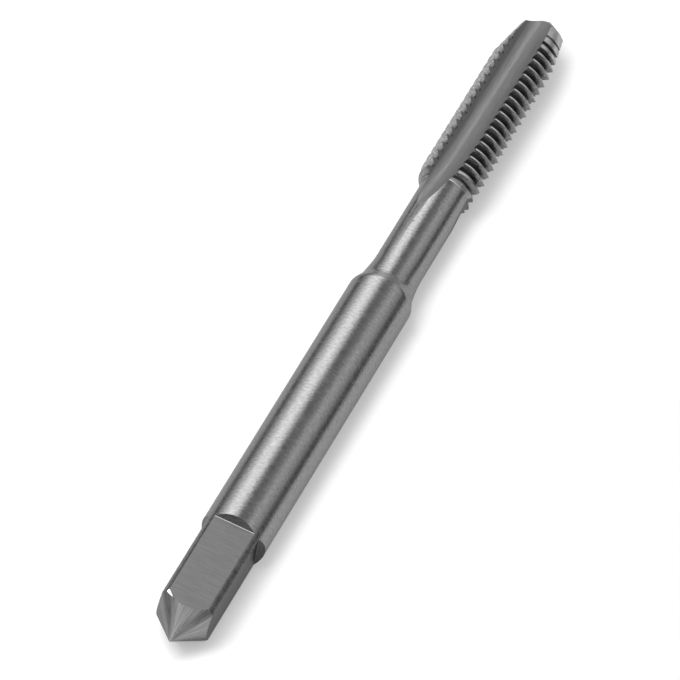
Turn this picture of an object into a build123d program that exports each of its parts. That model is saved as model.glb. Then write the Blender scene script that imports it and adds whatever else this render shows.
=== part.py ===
from build123d import *
from math import atan, cos, degrees, pi, radians, sin, tan
import os

# A right-hand machine tap with three straight flutes, ground from one bar of
# tool steel. It lies on its side along X with its point towards +X, resting on
# the plane Z = 0 on its shank and on one of its lands. The origin is on that
# plane, below the middle of its length.
# Lengths are in millimetres and angles in degrees. A turn is an angle about the
# tap's axis, from straight up towards -Y, which is also a right-hand turn about +X.

# Shank and drive square
shank_diameter = 6.0
shank_length = 29.85  # the round part, from the shoulder to the flats
square_across_flats = 4.7
square_length = 8.95  # from the flats' inner corner to the drive point
square_sides = 4
first_flat_angle = 8.0  # turn of the middle of the first flat
square_wall_angle = 58.0  # the wall that ends a flat, measured from the flat
square_wall_fillet = 0.2
drive_point_angle = 90.0

# Neck and shoulder
neck_diameter = 4.46
neck_length = 9.75
shoulder_taper_length = 2.25
shoulder_knee_diameter = 5.2
shoulder_chamfer_length = 0.8
shoulder_fillet = 0.5

# Thread, M6 with a coarse pitch
thread_diameter = 6.0
pitch = 1.0
thread_angle = 60.0
thread_length = 15.45  # at full diameter
thread_end_length = 1.5  # chamfer from the thread down to the neck
lead_length = 4.25
lead_diameter = 4.3  # at the small end of the lead
tip_point_angle = 90.0
thread_start_angle = 0.0  # turn where a groove's middle crosses the lead's small end
crest_flat = pitch / 8
root_flat = pitch / 6
groove_overrun_angle = 22.0  # by which a groove is cut beyond each side of a land

# Flutes
flute_count = 3
first_edge_angle = -39.8  # turn of the first cutting edge
flute_angle = 66.0  # from a cutting edge to the heel of the next land
rake_angle = 10.0
flute_face_length = 0.9
flute_root_radius = 0.8
flute_root_angle = 85.5  # swept by the root's arc
flute_length = 15.4  # from the tip to where the grinding wheel starts to lift
flute_taper_angle = 0.8  # the flute grows deeper towards the tip
wheel_radius = 90.0
wheel_offset_angle = 14.5  # from the cutting edge to the middle plane of the wheel
wheel_lift_angle = 10.0  # swept by the wheel as it lifts out

clearance = 1.0  # by which a cutter passes beyond the steel


def polar(radius, turn):
    """A point or direction, as (tangential, radial), at a turn from the radial direction."""
    return (radius * sin(radians(turn)), radius * cos(radians(turn)))


def cone_length(diameter, included_angle):
    return diameter / 2 / tan(radians(included_angle / 2))


# Stations along X, from the tip back to the drive point
tip_point_length = cone_length(lead_diameter, tip_point_angle)
drive_point_length = cone_length(shank_diameter, drive_point_angle)
overall_length = sum(
    (
        tip_point_length,
        lead_length,
        thread_length,
        thread_end_length,
        neck_length,
        shoulder_taper_length,
        shoulder_chamfer_length,
        shank_length,
        square_length,
        drive_point_length,
    )
)
tip_x = overall_length / 2
lead_x = tip_x - tip_point_length
thread_x = lead_x - lead_length
thread_end_x = thread_x - thread_length
neck_x = thread_end_x - thread_end_length
shoulder_x = neck_x - neck_length
knee_x = shoulder_x - shoulder_taper_length
shank_x = knee_x - shoulder_chamfer_length
square_x = shank_x - shank_length
drive_cone_x = square_x - square_length
drive_tip_x = drive_cone_x - drive_point_length

shank_radius = shank_diameter / 2
thread_radius = thread_diameter / 2
neck_radius = neck_diameter / 2
lead_radius = lead_diameter / 2
axis_height = max(shank_radius, thread_radius)
tap_axis = Axis((0, 0, axis_height), (1, 0, 0))


def radial(turn):
    """The outward direction at a turn about the tap's axis."""
    return Vector(0, 0, 1).rotate(Axis.X, turn)


def lengthwise_plane(turn):
    """The plane through the axis with X along the tap and Y outwards at a turn."""
    return Plane((0, 0, axis_height), x_dir=(1, 0, 0), z_dir=Vector(1, 0, 0).cross(radial(turn)))


# The turned blank
with BuildPart() as thread_tap:
    with BuildSketch(lengthwise_plane(0)):
        with BuildLine():
            Polyline(
                (drive_tip_x, 0),
                (drive_cone_x, shank_radius),
                (shank_x, shank_radius),
                (knee_x, shoulder_knee_diameter / 2),
                (shoulder_x, neck_radius),
                (neck_x, neck_radius),
                (thread_end_x, thread_radius),
                (thread_x, thread_radius),
                (lead_x, lead_radius),
                (tip_x, 0),
                close=True,
            )
        make_face()
    revolve(axis=tap_axis)
    round_edges = thread_tap.edges().filter_by(GeomType.CIRCLE)
    fillet(round_edges.filter_by_position(Axis.X, shank_x, knee_x), radius=shoulder_fillet)

# The drive square: each flat ends in a steep wall with a small fillet at its foot
flat_height = square_across_flats / 2
outside = shank_radius + clearance
wall_run = (outside - flat_height) / tan(radians(square_wall_angle))

for side in range(square_sides):
    with BuildPart() as flat_cutter:
        side_angle = first_flat_angle + side * 360 / square_sides
        with BuildSketch(lengthwise_plane(side_angle)) as flat_profile:
            with BuildLine():
                Polyline(
                    (drive_tip_x - clearance, flat_height),
                    (square_x, flat_height),
                    (square_x + wall_run, outside),
                    (drive_tip_x - clearance, outside),
                    close=True,
                )
            make_face()
            foot = flat_profile.vertices().sort_by_distance((square_x, flat_height))[0]
            fillet(foot, radius=square_wall_fillet)
        extrude(amount=outside, both=True)
    with thread_tap:
        add(flat_cutter.part, mode=Mode.SUBTRACT)

# The flutes: ground along a line that rises towards the shank, until the wheel lifts out
face_outward = Vector(*polar(1, rake_angle - wheel_offset_angle))
cutting_edge = Vector(*polar(thread_radius, -wheel_offset_angle))
heel = Vector(*polar(thread_radius, flute_angle - wheel_offset_angle))
overshoot = 2 * clearance

for number in range(flute_count):
    lift = radial(first_edge_angle + wheel_offset_angle + number * 360 / flute_count)
    around = Vector(1, 0, 0).cross(lift)
    backward = Vector(-1, 0, 0).rotate(Axis((0, 0, 0), around), -flute_taper_angle)
    wheel_plane = Plane((tip_x - flute_length, 0, axis_height), x_dir=around, z_dir=backward)
    with BuildPart() as flute_cutter:
        with BuildSketch(wheel_plane) as flute_profile:
            with BuildLine():
                face_top = cutting_edge + face_outward * overshoot
                face_foot = cutting_edge - face_outward * flute_face_length
                face = Line(face_top, face_foot)
                root = JernArc(face @ 1, face % 1, flute_root_radius, flute_root_angle)
                floor = TangentArc(root @ 1, heel, tangent=root % 1)
                heel_top = heel + (floor % 1) * overshoot
                Polyline(heel, heel_top, face_top)
            make_face()
        extrude(amount=-flute_length - clearance)
        core = flute_profile.sketch_local.bounding_box().min.Y
        wheel_centre = wheel_plane.from_local_coords((0, core + wheel_radius, 0))
        wheel_axis = Axis(wheel_centre, around)
        revolve(flute_profile.sketch, axis=wheel_axis, revolution_arc=-wheel_lift_angle)
    with thread_tap:
        add(flute_cutter.part, mode=Mode.SUBTRACT)

# The thread: over the width of one land a turn of the helix is a ring of grooves
# tilted by the helix angle, so each land gets its own row of tilted rings
flank_slope = tan(radians(thread_angle / 2))
thread_depth = (pitch - crest_flat - root_flat) / 2 / flank_slope
groove_root = thread_radius - thread_depth
groove_top = thread_radius + crest_flat / 2
half_top = root_flat / 2 + (groove_top - groove_root) * flank_slope
helix_angle = degrees(atan(pitch / (pi * (thread_diameter - thread_depth))))
land_angle = 360 / flute_count - flute_angle
groove_span = land_angle + 2 * groove_overrun_angle
groove_count = int((lead_x - neck_x) / pitch)

for number in range(flute_count):
    land_turn = first_edge_angle - land_angle / 2 + number * 360 / flute_count
    land = radial(land_turn)
    groove_x = lead_x - (thread_start_angle - land_turn) % 360 / 360 * pitch
    across = Vector(1, 0, 0).rotate(Axis((0, 0, 0), land), helix_angle)
    start = land.rotate(Axis((0, 0, 0), across), -groove_span / 2)
    groove_plane = Plane((groove_x, 0, axis_height), x_dir=across, z_dir=across.cross(start))
    with BuildPart() as groove_cutter:
        with BuildSketch(groove_plane):
            with BuildLine():
                Polyline(
                    (-root_flat / 2, groove_root),
                    (root_flat / 2, groove_root),
                    (half_top, groove_top),
                    (-half_top, groove_top),
                    close=True,
                )
            make_face()
        revolve(axis=Axis(groove_plane.origin, across), revolution_arc=groove_span)
    with thread_tap:
        with Locations([(-turn * pitch, 0, 0) for turn in range(groove_count)]):
            add(groove_cutter.part, mode=Mode.SUBTRACT)

thread_tap.part.label = "thread_tap"
os.makedirs("parts", exist_ok=True)
export_step(thread_tap.part, "parts/thread_tap.step")
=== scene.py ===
from math import atan2, cos, pi, radians, sin, tan

import bmesh
import bpy
from mathutils import Matrix, Vector


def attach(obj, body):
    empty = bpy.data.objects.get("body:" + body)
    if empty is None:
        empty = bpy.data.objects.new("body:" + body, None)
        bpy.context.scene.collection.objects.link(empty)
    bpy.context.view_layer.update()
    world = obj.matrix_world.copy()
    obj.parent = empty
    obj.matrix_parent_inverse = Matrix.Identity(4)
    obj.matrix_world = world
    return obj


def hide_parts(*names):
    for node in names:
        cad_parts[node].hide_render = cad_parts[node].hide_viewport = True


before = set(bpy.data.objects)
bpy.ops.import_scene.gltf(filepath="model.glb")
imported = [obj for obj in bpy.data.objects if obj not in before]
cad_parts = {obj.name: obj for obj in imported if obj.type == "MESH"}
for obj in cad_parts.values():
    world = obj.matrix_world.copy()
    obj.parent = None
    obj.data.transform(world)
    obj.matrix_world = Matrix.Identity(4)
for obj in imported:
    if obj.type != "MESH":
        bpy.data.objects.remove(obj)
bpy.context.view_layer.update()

mm = 0.001
tiny = 1e-6


# the tap, in millimetres until it is scaled to metres at the end;
# a turn is an angle about its axis, from straight up towards -Y
tap = {
    "axisHeight": 3.0,
    "facesAround": 192,
    # turned outline from the drive point to the tip: x, radius, rounding, rounding steps
    "outline": [
        (-38.975, 0.0, 0, 0),
        (-38.855, 0.12, 0, 0),
        (-37.475, 1.5, 0, 0),
        (-35.975, 3.0, 0.05, 2),
        (2.70, 3.0, 0.22, 5),
        (3.70, 2.58, 0.25, 5),
        (5.70, 2.26, 0.9, 6),
        (16.1, 2.26, 0.06, 3),
        (16.5, 2.72, 0.25, 4),
        (17.0, 2.92, 0.22, 4),
        (17.7, 3.0, 0.40, 4),
        (32.575, 3.0, 0, 0),
        (36.95, 2.21, 0.06, 2),
        (38.865, 0.12, 0, 0),
        (38.975, 0.0, 0, 0),
    ],
    "mergeBlank": 1e-5,
    "mergeCuts": 2e-4,
    "sharpAngle": 28.0,
    # where the steels change, along the tap and to its side; the crests past one point take a painted
    # highlight, and the thread on the +Y side a lighter steel that is painted light
    "drivePointEnd": -35.99,
    "tipPointStart": 36.96,
    "paintedHighlightCrestsFrom": 17.3,
    "paintedLightLandSide": 1.5,
}

square = {
    "sides": 4,
    "firstTurn": 8.0,
    "flatHeight": 2.35,
    "innerCorner": -27.025,
    "wallAngle": 58.0,
    "footRounding": 0.07,
    "footSteps": 5,
    # the end walls of these flats take a darker steel: painted shade
    "paintedShadeWalls": (0, 1),
    "wallFacing": 0.5,  # a face that looks farther along X than this is the wall
    "drivePoint": -38.975,
    "beyond": 1.0,
    "outside": 4.0,
}

flute = {
    "count": 3,
    "firstEdge": -39.8,
    "angle": 66.0,
    "rake": 10.0,
    "faceLength": 0.9,
    "rootRadius": 0.8,
    "rootAngle": 85.5,
    "rootSteps": 12,
    "floorSteps": 10,
    "length": 17.3,
    "beyond": 1.0,
    "taper": 0.8,
    "wheelRadius": 50.0,
    "wheelOffset": 14.5,
    "wheelLift": 20.0,
    "liftSteps": 32,
    "overshoot": 2.0,
}

thread = {
    "pitch": 1.0,
    "radius": 3.0,
    "rootRadius": 2.387,
    "rootHalf": 0.098,
    "flankAngle": 30.0,
    "crestBreak": 0.015,
    "crestBreakAngle": 60.0,
    "crestMargin": 1e-3,
    "above": 0.012,
    "startTurn": 145.0,
    "leadEnd": 36.825,
    "turns": 25,
    "turnsBeyond": 3,
    "stepsPerTurn": 96,
}

# the corner of one flat is knocked off at the cone
chip = {"x": -35.975, "turn": -30.4, "depth": 0.065, "facing": (-0.25, 0.11, 0.96), "size": 2.0}

# a small dent in the neck
nick = {
    "x": 10.37,
    "turn": -9.0,
    "radius": 2.26,
    "halfSize": (0.06, 0.12, 0.05),
    "slant": 25.0,
    "subdivisions": 2,
}


def asObject(shape, name, material):
    mesh = bpy.data.meshes.new(name)
    shape.to_mesh(mesh)
    shape.free()
    mesh.materials.append(material)
    made = bpy.data.objects.new(name, mesh)
    bpy.context.scene.collection.objects.link(made)
    return made


def wire(shape, points, closed=False):
    corners = [shape.verts.new(point) for point in points]
    pairs = list(zip(corners, corners[1:]))
    if closed:
        pairs.append((corners[-1], corners[0]))
    for pair in pairs:
        shape.edges.new(pair)
    return corners


def firstCorner(items):
    return next(item for item in items if isinstance(item, bmesh.types.BMVert))


def roundCorner(shape, corner, rounding, steps):
    bmesh.ops.bevel(shape, geom=[corner], offset=rounding, offset_type="OFFSET", segments=steps,
                    profile=0.5, affect="VERTICES", material=-1)


def drawOut(shape, edges, way):
    drawn = bmesh.ops.extrude_edge_only(shape, edges=edges)["geom"]
    moved = [item for item in drawn if isinstance(item, bmesh.types.BMVert)]
    bmesh.ops.translate(shape, verts=moved, vec=way)


def closeEnds(shape):
    rim = [edge for edge in shape.edges if edge.is_boundary]
    bmesh.ops.edgeloop_fill(shape, edges=rim)
    bmesh.ops.recalc_face_normals(shape, faces=shape.faces)


def turnOntoAxis(shape, turn):
    turned = Matrix.Rotation(radians(turn), 3, "X")
    bmesh.ops.rotate(shape, verts=shape.verts, cent=(0, 0, 0), matrix=turned)
    bmesh.ops.translate(shape, verts=shape.verts, vec=(0, 0, tap["axisHeight"]))


def turnedBlank(material):
    shape = bmesh.new()
    height = tap["axisHeight"]
    corners = wire(shape, [(x, 0, height + radius) for x, radius, rounding, steps in tap["outline"]])
    for corner, (x, radius, rounding, steps) in zip(corners, tap["outline"]):
        if rounding:
            roundCorner(shape, corner, rounding, steps)
    bmesh.ops.spin(shape, geom=shape.verts[:] + shape.edges[:], cent=(0, 0, height), axis=(1, 0, 0),
                   angle=2 * pi, steps=tap["facesAround"], use_merge=True)
    bmesh.ops.remove_doubles(shape, verts=shape.verts, dist=tap["mergeBlank"])
    bmesh.ops.recalc_face_normals(shape, faces=shape.faces)
    return asObject(shape, "tapBlank", material)


def flatCutter(turn, material, wallShadeOrFlatSteel):
    shape = bmesh.new()
    low, high = square["flatHeight"], square["outside"]
    back, inner = square["drivePoint"] - square["beyond"], square["innerCorner"]
    wallRun = (high - low) / tan(radians(square["wallAngle"]))
    corners = wire(shape, [(back, -high, low), (inner, -high, low), (inner + wallRun, -high, high),
                           (back, -high, high)], closed=True)
    roundCorner(shape, corners[1], square["footRounding"], square["footSteps"])
    drawOut(shape, shape.edges[:], (0, 2 * high, 0))
    closeEnds(shape)
    turnOntoAxis(shape, turn)
    cutter = asObject(shape, "flatCutter", material)
    cutter.data.materials.append(wallShadeOrFlatSteel)
    # the wall faces take the second steel, which for two of the flats is painted shade
    for face in cutter.data.polygons:
        if face.normal.x > square["wallFacing"]:
            face.material_index = 1
    return cutter


def polar(radius, turn):
    return Vector((radius * sin(radians(turn)), radius * cos(radians(turn)), 0))


def leftOf(way):
    return Vector((-way.y, way.x, 0))


def arc(shape, start, centre, angle, steps):
    swept = bmesh.ops.spin(shape, geom=[start], cent=centre, axis=(0, 0, 1), angle=angle, steps=steps)
    return firstCorner(swept["geom_last"])


# the wheel's profile: a raked face, the root's arc and a floor that ends on the heel
def fluteProfile(shape):
    edge = polar(thread["radius"], -flute["wheelOffset"])
    heel = polar(thread["radius"], flute["angle"] - flute["wheelOffset"])
    outward = polar(1, flute["rake"] - flute["wheelOffset"])
    top, foot = wire(shape, [edge + outward * flute["overshoot"], edge - outward * flute["faceLength"]])
    rootAngle = radians(flute["rootAngle"])
    rootCentre = foot.co + leftOf(-outward) * flute["rootRadius"]
    rootEnd = arc(shape, foot, rootCentre, rootAngle, flute["rootSteps"])
    heading = Matrix.Rotation(rootAngle, 3, "Z") @ -outward
    side, chord = leftOf(heading), heel - rootEnd.co
    floorCentre = rootEnd.co + side * (chord.length_squared / (2 * chord.dot(side)))
    sweep = 2 * atan2(chord.dot(side), chord.dot(heading))
    floorEnd = arc(shape, rootEnd, floorCentre, sweep, flute["floorSteps"])
    heading = Matrix.Rotation(sweep, 3, "Z") @ heading
    last = shape.verts.new(floorEnd.co + heading * flute["overshoot"])
    shape.edges.new((floorEnd, last))
    shape.edges.new((last, top))


def fluteCutter(turn, material):
    shape = bmesh.new()
    fluteProfile(shape)
    profile = shape.verts[:] + shape.edges[:]
    core = min(corner.co.y for corner in shape.verts)
    bmesh.ops.spin(shape, geom=profile, cent=(0, core + flute["wheelRadius"], 0), axis=(1, 0, 0),
                   angle=-radians(flute["wheelLift"]), steps=flute["liftSteps"])
    first = [edge for edge in shape.edges if all(abs(corner.co.z) < tiny for corner in edge.verts)]
    drawOut(shape, first, (0, 0, -flute["length"] - flute["beyond"]))
    closeEnds(shape)
    lift = Matrix.Rotation(radians(turn), 3, "X") @ Vector((0, 0, 1))
    around = Vector((1, 0, 0)).cross(lift)
    backward = Matrix.Rotation(-radians(flute["taper"]), 3, around) @ Vector((-1, 0, 0))
    place = Matrix((around, backward.cross(around), backward)).transposed().to_4x4()
    place.translation = (tap["outline"][-1][0] - flute["length"], 0, tap["axisHeight"])
    bmesh.ops.transform(shape, matrix=place, verts=shape.verts)
    bmesh.ops.recalc_face_normals(shape, faces=shape.faces)
    return asObject(shape, "fluteCutter", material)


# one helical groove, whose outermost strips leave the broken crests and give them a lighter steel, a painted
# highlight
def threadCutter(material, crestHighlightMaterial):
    shape = bmesh.new()
    height, pitch = tap["axisHeight"], thread["pitch"]
    slope, breakSlope = tan(radians(thread["flankAngle"])), tan(radians(thread["crestBreakAngle"]))
    breakRadius = thread["radius"] - thread["crestBreak"]
    topRadius = thread["radius"] + thread["above"]
    flankHalf = thread["rootHalf"] + (breakRadius - thread["rootRadius"]) * slope
    topHalf = flankHalf + (topRadius - breakRadius) * breakSlope
    half = [(thread["rootHalf"], thread["rootRadius"]), (flankHalf, breakRadius), (topHalf, topRadius)]
    profile = half + [(-x, radius) for x, radius in reversed(half)]
    turnsBack = thread["turns"] - thread["turnsBeyond"] + thread["startTurn"] / 360
    start = thread["leadEnd"] - turnsBack * pitch
    wire(shape, [(start + x, 0, height + radius) for x, radius in profile], closed=True)
    bmesh.ops.spin(shape, geom=shape.verts[:] + shape.edges[:], cent=(0, 0, height), axis=(1, 0, 0),
                   dvec=(pitch / thread["stepsPerTurn"], 0, 0), angle=2 * pi * thread["turns"],
                   steps=thread["turns"] * thread["stepsPerTurn"])
    closeEnds(shape)
    cutter = asObject(shape, "threadCutter", material)
    cutter.data.materials.append(crestHighlightMaterial)
    lowest = breakRadius - thread["crestMargin"]
    for face in cutter.data.polygons:
        corners = [cutter.data.vertices[index].co for index in face.vertices]
        if all(Vector((corner.y, corner.z - height)).length > lowest for corner in corners):
            face.material_index = 1
    return cutter


def nickCutter(material):
    shape = bmesh.new()
    bmesh.ops.create_icosphere(shape, subdivisions=nick["subdivisions"], radius=1)
    bmesh.ops.scale(shape, verts=shape.verts, vec=nick["halfSize"])
    slanted = Matrix.Rotation(radians(nick["slant"]), 3, "Z")
    bmesh.ops.rotate(shape, verts=shape.verts, cent=(0, 0, 0), matrix=slanted)
    bmesh.ops.translate(shape, verts=shape.verts, vec=(nick["x"], 0, nick["radius"]))
    turnOntoAxis(shape, nick["turn"])
    return asObject(shape, "nickCutter", material)


def chipCutter(material):
    shape = bmesh.new()
    bmesh.ops.create_cube(shape, size=chip["size"])
    bmesh.ops.translate(shape, verts=shape.verts, vec=(0, 0, chip["size"] / 2))
    facing = Vector(chip["facing"]).to_track_quat("Z", "Y").to_matrix()
    bmesh.ops.rotate(shape, verts=shape.verts, cent=(0, 0, 0), matrix=facing)
    corner = Matrix.Rotation(radians(chip["turn"]), 3, "X") @ Vector((0, 0, thread["radius"]))
    seat = Vector((chip["x"], 0, tap["axisHeight"] - chip["depth"]))
    bmesh.ops.translate(shape, verts=shape.verts, vec=corner + seat)
    return asObject(shape, "chipCutter", material)


# the cut faces take the cutter's steel
def cut(piece, cutter):
    modifier = piece.modifiers.new("cut", "BOOLEAN")
    modifier.operation = "DIFFERENCE"
    modifier.solver = "EXACT"
    modifier.material_mode = "TRANSFER"
    modifier.object = cutter
    bpy.context.view_layer.update()
    evaluated = piece.evaluated_get(bpy.context.evaluated_depsgraph_get())
    mesh = bpy.data.meshes.new_from_object(evaluated)
    piece.modifiers.clear()
    used = [piece.data, cutter.data]
    piece.data = mesh
    bpy.data.objects.remove(cutter)
    for oldMesh in used:
        bpy.data.meshes.remove(oldMesh)


# grain and patches: how many features to a millimetre along the tap, round it and outwards;
# for the thread steels, painted shade in each groove, darker towards its root: the radii between which a
# groove brightens, and its share of the colour at the bottom
steelLooks = {
    "turnedSteel": {"colour": 0.235, "spread": 0.16, "roughness": 0.25, "wear": 0.03, "edge": 0.60,
                    "grain": (5.0, 2.0, 0.0), "patches": (1.2, 0.8, 0.0), "depth": 0.015},
    "flatSteel": {"colour": 0.20, "spread": 0.07, "roughness": 0.25, "wear": 0.02, "edge": 0.45,
                  "grain": (5.0, 0.3, 0.3), "patches": (0.8, 0.6, 0.6), "depth": 0.006},
    "fluteSteel": {"colour": 0.20, "spread": 0.12, "roughness": 0.62, "wear": 0.03, "edge": 0.45,
                   "grain": (0.4, 5.0, 5.0), "patches": (0.8, 1.6, 1.6), "depth": 0.012},
    "threadSteel": {"colour": 0.20, "spread": 0.40, "roughness": 0.24, "wear": 0.05, "edge": 1.0,
                    "grain": (3.0, 3.0, 7.0), "patches": (1.5, 1.5, 3.0), "depth": 0.020,
                    "paintedValleyShade": (2.50, 2.98, 0.50)},
    # a lighter copy of the thread steel for the land on the +Y side: painted light
    "paintedLightLandSteel": {"colour": 0.32, "spread": 0.40, "roughness": 0.24, "wear": 0.05, "edge": 1.0,
                  "grain": (3.0, 3.0, 7.0), "patches": (1.5, 1.5, 3.0), "depth": 0.020,
                  "paintedValleyShade": (2.40, 2.80, 0.45)},
    # a darker steel for two of the flats' end walls: painted shade
    "paintedShadeWallSteel": {"colour": 0.075, "spread": 0.20, "roughness": 0.28, "wear": 0.03, "edge": 0.45,
                  "grain": (5.0, 2.0, 0.3), "patches": (0.8, 0.6, 0.6), "depth": 0.01},
    # a brighter steel for the knocked-off facet: bare metal, and a painted glint
    "paintedGlintChipSteel": {"colour": 0.60, "spread": 0.05, "roughness": 0.20, "wear": 0.02, "edge": 0.80,
                  "grain": (5.0, 2.0, 0.3), "patches": (0.8, 0.6, 0.6), "depth": 0.004},
    # a lighter steel on the thread's crests: painted highlight
    "paintedHighlightCrestSteel": {"colour": 0.40, "spread": 0.15, "roughness": 0.28, "wear": 0.04, "edge": 0.60,
                   "grain": (5.0, 2.0, 0.0), "patches": (1.2, 0.8, 0.0), "depth": 0.015},
    "coneSteel": {"colour": 0.235, "spread": 0.25, "roughness": 0.30, "wear": 0.05, "edge": 0.45,
                  "grain": (0.3, 3.5, 0.3), "patches": (0.8, 0.8, 0.8), "depth": 0.02},
}

# for all the steels: the noise behind grain and patches, the part of its range that is used,
# and the blue of a grey as a share of its red
noiseLook = {"detail": 3.0, "patchDetail": 2.0, "roughness": 0.6, "range": (0.3, 0.7), "blue": 1.01}


def newNodes(block):
    block.use_nodes = True
    block.node_tree.nodes.clear()
    return block.node_tree.nodes, block.node_tree.links


def joinTo(links, socket, value):
    if isinstance(value, bpy.types.NodeSocket):
        links.new(value, socket)
    else:
        socket.default_value = value


def worked(nodes, links, kind, operation, *values):
    node = nodes.new(kind)
    node.operation = operation
    for socket, value in zip(node.inputs, values):
        joinTo(links, socket, value)
    return node


# the way along the axis, the way round it and the radius, in millimetres
def placeOnTap(nodes, links):
    coordinates = nodes.new("ShaderNodeTexCoord").outputs["Object"]
    fromAxis = worked(nodes, links, "ShaderNodeVectorMath", "MULTIPLY_ADD", coordinates,
                      (1 / mm, 1 / mm, 1 / mm), (0, 0, -tap["axisHeight"])).outputs[0]
    split = nodes.new("ShaderNodeSeparateXYZ")
    links.new(fromAxis, split.inputs[0])
    turn = worked(nodes, links, "ShaderNodeMath", "ARCTAN2", split.outputs["Y"], split.outputs["Z"])
    around = worked(nodes, links, "ShaderNodeMath", "MULTIPLY", turn.outputs[0], thread["radius"])
    across = worked(nodes, links, "ShaderNodeVectorMath", "MULTIPLY", fromAxis, (0, 1, 1))
    outwards = worked(nodes, links, "ShaderNodeVectorMath", "LENGTH", across.outputs[0]).outputs["Value"]
    joined = nodes.new("ShaderNodeCombineXYZ")
    for socket, value in zip(joined.inputs, (split.outputs["X"], around.outputs[0], outwards)):
        links.new(value, socket)
    return joined.outputs[0], outwards


def grain(nodes, links, place, scale, detail):
    stretched = worked(nodes, links, "ShaderNodeVectorMath", "MULTIPLY", place, scale)
    noise = nodes.new("ShaderNodeTexNoise")
    noise.inputs["Scale"].default_value = 1.0
    noise.inputs["Detail"].default_value = detail
    noise.inputs["Roughness"].default_value = noiseLook["roughness"]
    links.new(stretched.outputs[0], noise.inputs["Vector"])
    return noise.outputs["Fac"]


def fitted(nodes, links, value, given, wanted):
    ranged = nodes.new("ShaderNodeMapRange")
    ranged.inputs["From Min"].default_value, ranged.inputs["From Max"].default_value = given
    ranged.inputs["To Min"].default_value, ranged.inputs["To Max"].default_value = wanted
    links.new(value, ranged.inputs["Value"])
    return ranged.outputs[0]


def grey(level):
    return (level, level, level * noiseLook["blue"], 1)


def blend(nodes, links, factor, first, second):
    mixed = nodes.new("ShaderNodeMix")
    mixed.data_type = "RGBA"
    links.new(factor, mixed.inputs["Factor"])
    colours = [socket for socket in mixed.inputs if socket.type == "RGBA"]
    for socket, value in zip(colours, (first, second)):
        joinTo(links, socket, value)
    return next(socket for socket in mixed.outputs if socket.type == "RGBA")


def groundSteel(name):
    look = steelLooks[name]
    material = bpy.data.materials.new(name)
    nodes, links = newNodes(material)
    output = nodes.new("ShaderNodeOutputMaterial")
    shader = nodes.new("ShaderNodeBsdfPrincipled")
    links.new(shader.outputs["BSDF"], output.inputs["Surface"])
    shader.inputs["Metallic"].default_value = 1.0
    shader.inputs["Specular Tint"].default_value = (look["edge"], look["edge"], look["edge"], 1)
    place, outwards = placeOnTap(nodes, links)
    fine = grain(nodes, links, place, look["grain"], noiseLook["detail"])
    patches = grain(nodes, links, place, look["patches"], noiseLook["patchDetail"])
    dark, light = look["colour"] * (1 - look["spread"]), look["colour"] * (1 + look["spread"])
    shade = fitted(nodes, links, fine, noiseLook["range"], (0, 1))
    colour = blend(nodes, links, shade, grey(dark), grey(light))
    # painted shade in the thread's grooves: the colour darkens from near the crest down to the root
    if "paintedValleyShade" in look:
        low, high, share = look["paintedValleyShade"]
        depth = fitted(nodes, links, outwards, (low, high), (0, 1))
        colour = blend(nodes, links, depth, grey(look["colour"] * share), colour)
    links.new(colour, shader.inputs["Base Color"])
    worn = look["roughness"] - look["wear"], look["roughness"] + look["wear"]
    roughness = fitted(nodes, links, patches, noiseLook["range"], worn)
    links.new(roughness, shader.inputs["Roughness"])
    bump = nodes.new("ShaderNodeBump")
    bump.inputs["Strength"].default_value = 1.0
    bump.inputs["Distance"].default_value = look["depth"] * mm
    links.new(fine, bump.inputs["Height"])
    links.new(bump.outputs[0], shader.inputs["Normal"])
    return material


steels = {name: groundSteel(name) for name in steelLooks}
print("steels ready:", len(steels))

piece = turnedBlank(steels["turnedSteel"])
piece.name = "tap_body"
print("blank turned")
for side in range(square["sides"]):
    # two of the walls take the darker steel, painted shade
    wall = "paintedShadeWallSteel" if side in square["paintedShadeWalls"] else "flatSteel"
    middle = square["firstTurn"] + side * 360 / square["sides"]
    cut(piece, flatCutter(middle, steels["flatSteel"], steels[wall]))
print("drive square ground")
for number in range(flute["count"]):
    middle = flute["firstEdge"] + flute["wheelOffset"] + number * 360 / flute["count"]
    cut(piece, fluteCutter(middle, steels["fluteSteel"]))
print("flutes ground")
cut(piece, threadCutter(steels["threadSteel"], steels["paintedHighlightCrestSteel"]))
cut(piece, nickCutter(steels["threadSteel"]))
# the chip's facet takes the brighter steel: bare metal, and a painted glint
cut(piece, chipCutter(steels["paintedGlintChipSteel"]))
print("thread cut")

shape = bmesh.new()
shape.from_mesh(piece.data)
bmesh.ops.remove_doubles(shape, verts=shape.verts, dist=tap["mergeCuts"])
bmesh.ops.scale(shape, verts=shape.verts, vec=(mm, mm, mm))
shape.to_mesh(piece.data)
shape.free()

for name in ("paintedHighlightCrestSteel", "coneSteel", "paintedLightLandSteel"):
    if name not in piece.data.materials:
        piece.data.materials.append(steels[name])
slots = [material.name for material in piece.data.materials]
pointsFrom, pointsTo = tap["drivePointEnd"] * mm, tap["tipPointStart"] * mm
for face in piece.data.polygons:
    face.use_smooth = True
    name = slots[face.material_index]
    if name == "turnedSteel" and not pointsFrom < face.center.x < pointsTo:
        face.material_index = slots.index("coneSteel")
    # the crests past one point take the lighter steel, a painted highlight
    elif name == "turnedSteel" and face.center.x > tap["paintedHighlightCrestsFrom"] * mm:
        face.material_index = slots.index("paintedHighlightCrestSteel")
    # the thread on the +Y side takes the lighter steel, painted light
    elif name == "threadSteel" and face.center.y > tap["paintedLightLandSide"] * mm:
        face.material_index = slots.index("paintedLightLandSteel")
piece.data.set_sharp_from_angle(angle=radians(tap["sharpAngle"]))
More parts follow.
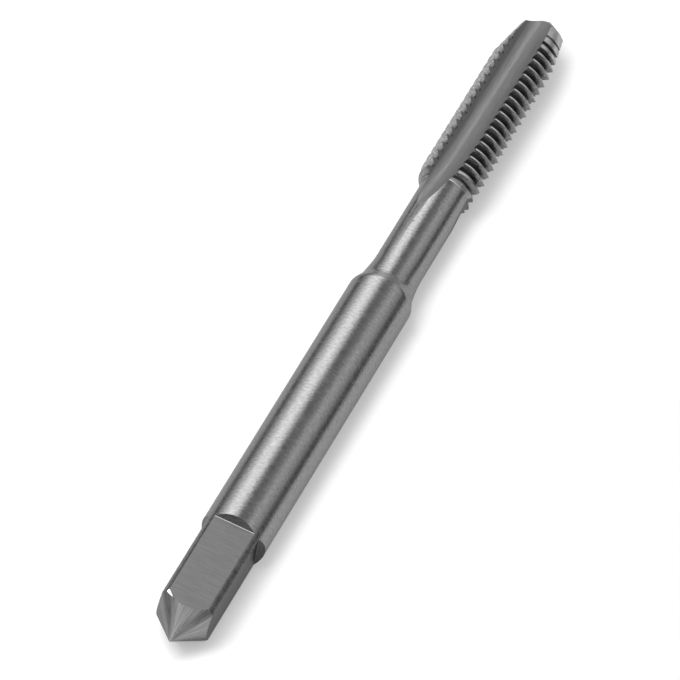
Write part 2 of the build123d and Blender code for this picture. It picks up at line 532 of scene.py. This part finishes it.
# the chip stays a crisp facet
for face in piece.data.polygons:
    if slots[face.material_index] == "paintedGlintChipSteel":
        for index in face.loop_indices:
            piece.data.edges[piece.data.loops[index].edge_index].use_edge_sharp = True
weighted = piece.modifiers.new("weighted", "WEIGHTED_NORMAL")
weighted.keep_sharp = True
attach(piece, "root")
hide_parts("thread_tap")
print("tap ready:", len(piece.data.polygons), "faces")

# a sheet of paper, in millimetres, that ends a little way in front of the tap
floor = {"length": 160.0, "left": 80.0, "right": -27.0, "colour": (0.27, 0.27, 0.27, 1), "glow": 0.33}


# the glow is only for rays that see the paper or its reflection
def paperMaterial():
    material = bpy.data.materials.new("paper")
    nodes, links = newNodes(material)
    output = nodes.new("ShaderNodeOutputMaterial")
    both = nodes.new("ShaderNodeAddShader")
    paper = nodes.new("ShaderNodeBsdfDiffuse")
    paper.inputs["Color"].default_value = floor["colour"]
    glow = nodes.new("ShaderNodeEmission")
    rays = nodes.new("ShaderNodeLightPath").outputs
    clear = worked(nodes, links, "ShaderNodeMath", "ADD", rays["Is Glossy Ray"], rays["Is Transmission Ray"])
    seen = worked(nodes, links, "ShaderNodeMath", "ADD", rays["Is Camera Ray"], clear.outputs[0])
    seen.use_clamp = True
    strength = worked(nodes, links, "ShaderNodeMath", "MULTIPLY", seen.outputs[0], floor["glow"])
    links.new(strength.outputs[0], glow.inputs["Strength"])
    links.new(paper.outputs[0], both.inputs[0])
    links.new(glow.outputs[0], both.inputs[1])
    links.new(both.outputs[0], output.inputs["Surface"])
    return material


floorShape = bmesh.new()
floorWidth, floorMiddle = floor["left"] - floor["right"], (floor["left"] + floor["right"]) / 2
bmesh.ops.create_grid(floorShape, x_segments=1, y_segments=1, size=0.5)
bmesh.ops.scale(floorShape, verts=floorShape.verts, vec=(floor["length"] * mm, floorWidth * mm, 1))
bmesh.ops.translate(floorShape, verts=floorShape.verts, vec=(0, floorMiddle * mm, 0))
floorObject = asObject(floorShape, "floor", paperMaterial())
print("floor ready")

studio = {
    "peak": 4.0,
    # soft strips overhead, parallel to the tap: the turn and the level
    "strips": [
        (-180, 0.5),
        (-98, 0.30),
        (-90, 0.18),
        (-80, 0.20),
        (-60, 1.25),
        (-34, 3.1),
        (-21, 2.9),
        (4, 0.24),
        (22, 0.42),
        (46, 1.2),
        (69, 0.80),
        (85, 0.12),
        (98, 0.10),
        (110, 0.3),
        (180, 0.5),
    ],
    # above the shank and behind the drive end: the sine of the elevation and the level
    "overhead": [(0.0, 0.20), (0.25, 0.35), (0.55, 1.4), (1.0, 1.6)],
    "overheadSpan": (-0.15, 0.35),
    "end": [(0.0, 0.09), (0.11, 0.10), (0.20, 2.4), (0.30, 0.60), (0.38, 0.60), (0.55, 1.0), (1.0, 0.9)],
    "endSpan": (-0.90, -0.66),
    # beyond the tip: the turn and the level
    "far": [
        (-180, 0.5),
        (-98, 0.6),
        (-80, 1.45),
        (-62, 1.7),
        (-38, 1.1),
        (-7, 0.6),
        (35, 0.6),
        (69, 0.78),
        (98, 0.72),
        (115, 0.5),
        (180, 0.5),
    ],
    "farSpan": (0.86, 0.94),
    "background": (1, 1, 1, 1),
}

# the lamp that throws the tap's shadow on the paper
key = {"turn": -9.0, "along": -14.0, "distance": 0.45, "size": (0.30, 0.17), "power": 3.2}


def levelRamp(nodes, links, value, levels):
    ramp = nodes.new("ShaderNodeValToRGB")
    ramp.color_ramp.interpolation = "EASE"
    stops = ramp.color_ramp.elements
    while len(stops) > 1:
        stops.remove(stops[0])
    for position, level in levels:
        share = level / studio["peak"]
        stops.new(position).color = (share, share, share, 1)
    stops.remove(stops[0])
    links.new(value, ramp.inputs["Fac"])
    light = nodes.new("ShaderNodeBackground")
    light.inputs["Strength"].default_value = studio["peak"]
    links.new(ramp.outputs[0], light.inputs["Color"])
    return light.outputs[0]


def byTurn(levels):
    return [((turn + 180) / 360, level) for turn, level in levels]


def mixShaders(nodes, links, factor, first, second):
    mixed = nodes.new("ShaderNodeMixShader")
    for socket, value in zip(mixed.inputs, (factor, first, second)):
        links.new(value, socket)
    return mixed.outputs[0]


def mixAlong(nodes, links, along, span, first, second):
    share = nodes.new("ShaderNodeMapRange")
    share.interpolation_type = "SMOOTHSTEP"
    share.inputs["From Min"].default_value, share.inputs["From Max"].default_value = span
    links.new(along, share.inputs["Value"])
    return mixShaders(nodes, links, share.outputs[0], first, second)


def studioWorld():
    world = bpy.data.worlds.new("studio")
    nodes, links = newNodes(world)
    output = nodes.new("ShaderNodeOutputWorld")
    direction = nodes.new("ShaderNodeTexCoord").outputs["Generated"]
    split = nodes.new("ShaderNodeSeparateXYZ")
    links.new(direction, split.inputs[0])
    along, upwards = split.outputs["X"], split.outputs["Z"]
    sideways = worked(nodes, links, "ShaderNodeMath", "MULTIPLY", split.outputs["Y"], -1)
    turn = worked(nodes, links, "ShaderNodeMath", "ARCTAN2", sideways.outputs[0], upwards)
    around = fitted(nodes, links, turn.outputs[0], (-pi, pi), (0, 1))
    strips = levelRamp(nodes, links, around, byTurn(studio["strips"]))
    end = levelRamp(nodes, links, upwards, studio["end"])
    overhead = levelRamp(nodes, links, upwards, studio["overhead"])
    far = levelRamp(nodes, links, around, byTurn(studio["far"]))
    light = mixAlong(nodes, links, along, studio["overheadSpan"], overhead, strips)
    light = mixAlong(nodes, links, along, studio["endSpan"], end, light)
    light = mixAlong(nodes, links, along, studio["farSpan"], light, far)
    white = nodes.new("ShaderNodeBackground")
    white.inputs["Color"].default_value = studio["background"]
    white.inputs["Strength"].default_value = 1
    rays = nodes.new("ShaderNodeLightPath").outputs
    shown = mixShaders(nodes, links, rays["Is Camera Ray"], light, white.outputs[0])
    links.new(shown, output.inputs["Surface"])
    return world


bpy.context.scene.world = studioWorld()

lampData = bpy.data.lights.new("keyLight", "AREA")
lampData.shape = "RECTANGLE"
lampData.size, lampData.size_y = key["size"]
lampData.energy = key["power"]
lamp = bpy.data.objects.new("keyLight", lampData)
bpy.context.scene.collection.objects.link(lamp)
keyTurn, keyAlong = radians(key["turn"]), radians(key["along"])
towardsKey = Vector((sin(keyAlong), -sin(keyTurn) * cos(keyAlong), cos(keyTurn) * cos(keyAlong)))
lamp.location = towardsKey * key["distance"]
lamp.rotation_mode = "QUATERNION"
lamp.rotation_quaternion = towardsKey.to_track_quat("Z", "X")
lamp.visible_glossy = False
print("studio ready")

camera = {
    "azimuth": -64.79,
    "elevation": 49.74,
    "distance": 605.2 * mm,
    "target": (-3.018 * mm, 1.161 * mm, 3.0 * mm),
    "lens": 369.93,
    "sensor": 36.0,
    "clip": (0.01, 20.0),
}

cameraData = bpy.data.cameras.new("camera")
cameraData.sensor_width = camera["sensor"]
cameraData.lens = camera["lens"]
cameraData.clip_start, cameraData.clip_end = camera["clip"]
cameraObject = bpy.data.objects.new("camera", cameraData)
bpy.context.scene.collection.objects.link(cameraObject)
azimuth, elevation = radians(camera["azimuth"]), radians(camera["elevation"])
back = Vector((sin(azimuth) * cos(elevation), -cos(azimuth) * cos(elevation), sin(elevation)))
cameraObject.location = Vector(camera["target"]) + back * camera["distance"]
cameraObject.rotation_mode = "QUATERNION"
cameraObject.rotation_quaternion = (-back).to_track_quat("-Z", "Y")
bpy.context.scene.camera = cameraObject
bpy.context.scene.view_settings.view_transform = "Standard"
print("camera ready")
